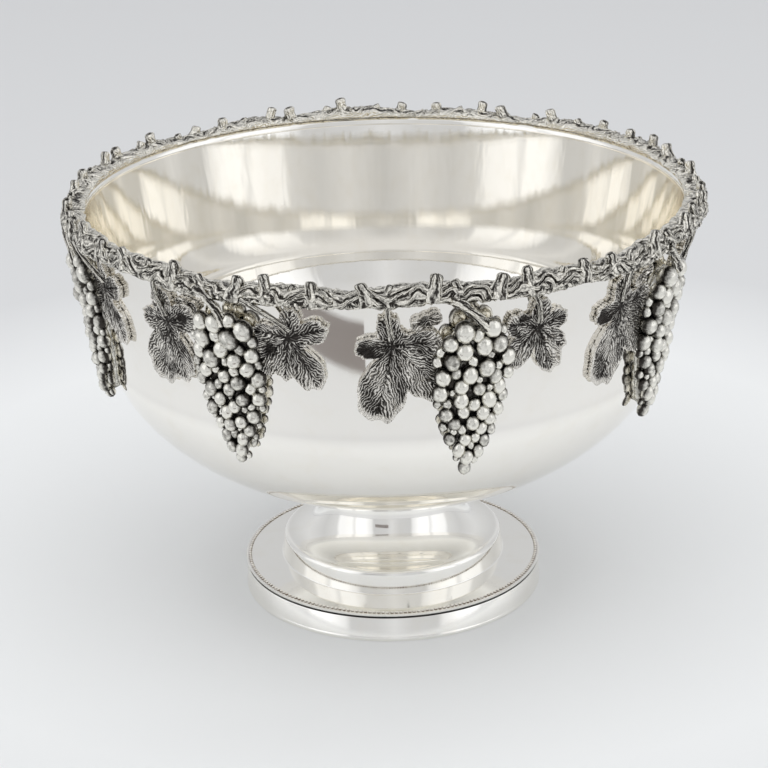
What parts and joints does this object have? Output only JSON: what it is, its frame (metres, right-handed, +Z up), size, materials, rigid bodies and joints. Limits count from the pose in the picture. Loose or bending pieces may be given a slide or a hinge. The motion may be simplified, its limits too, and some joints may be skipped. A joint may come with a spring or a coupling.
{
  "type": "punch bowl",
  "caption": "Large footed punch bowl in polished silver plate, with a cast grapevine rim, leaves and bunches of grapes, on a spun pedestal with a beaded foot",
  "frame": {"origin": "on the table, under the bowl's axis, at the centre of the foot's lower face", "axes": "+Z up along the bowl's axis; -Y is the front; the first group of grapes lies 14 degrees from -Y towards +X"},
  "size_m": [0.3988, 0.3992, 0.2708],
  "materials": {
    "bowl_plate": "mirror-polished silver plate, faint polishing lines, slightly warm inside",
    "bright_plate": "mirror-polished silver plate, spun, with a few soft scratches",
    "vine_cast": "cast and oxidised silver plate, bark texture, dark in the hollows, rubbed bright on the ridges",
    "grape_cast": "cast and oxidised silver plate, bright grapes with dark hollows between them",
    "leaf_cast": "cast and oxidised silver plate, fine veins, dark hollows and bright rubbed ridges"
  },
  "bodies": {
    "root": {"bowl_shell": "bowl_plate", "rim_strip": "bright_plate", "neck_collar": "bright_plate", "pedestal": "bright_plate", "beaded_wire": "bright_plate", "foot_band": "bright_plate", "vine_length_1": "vine_cast", "vine_length_2": "vine_cast", "vine_length_3": "vine_cast", "vine_length_4": "vine_cast", "vine_length_5": "vine_cast", "vine_length_6": "vine_cast", "vine_length_7": "vine_cast", "vine_length_8": "vine_cast", "grape_bunch_1": "grape_cast", "grape_bunch_2": "grape_cast", "grape_bunch_3": "grape_cast", "grape_bunch_4": "grape_cast", "grape_bunch_5": "grape_cast", "grape_bunch_6": "grape_cast", "grape_bunch_7": "grape_cast", "grape_bunch_8": "grape_cast", "bunch_stalk_1": "vine_cast", "bunch_stalk_2": "vine_cast", "bunch_stalk_3": "vine_cast", "bunch_stalk_4": "vine_cast", "bunch_stalk_5": "vine_cast", "bunch_stalk_6": "vine_cast", "bunch_stalk_7": "vine_cast", "bunch_stalk_8": "vine_cast", "leaf_left_1": "leaf_cast", "leaf_left_2": "leaf_cast", "leaf_left_3": "leaf_cast", "leaf_left_4": "leaf_cast", "leaf_left_5": "leaf_cast", "leaf_left_6": "leaf_cast", "leaf_left_7": "leaf_cast", "leaf_left_8": "leaf_cast", "leaf_right_1": "leaf_cast", "leaf_right_2": "leaf_cast", "leaf_right_3": "leaf_cast", "leaf_right_4": "leaf_cast", "leaf_right_5": "leaf_cast", "leaf_right_6": "leaf_cast", "leaf_right_7": "leaf_cast", "leaf_right_8": "leaf_cast", "leaflet_1": "leaf_cast", "leaflet_2": "leaf_cast", "leaflet_3": "leaf_cast", "leaflet_4": "leaf_cast", "leaflet_5": "leaf_cast", "leaflet_6": "leaf_cast", "leaflet_7": "leaf_cast", "leaflet_8": "leaf_cast"}
  },
  "joints": []
}
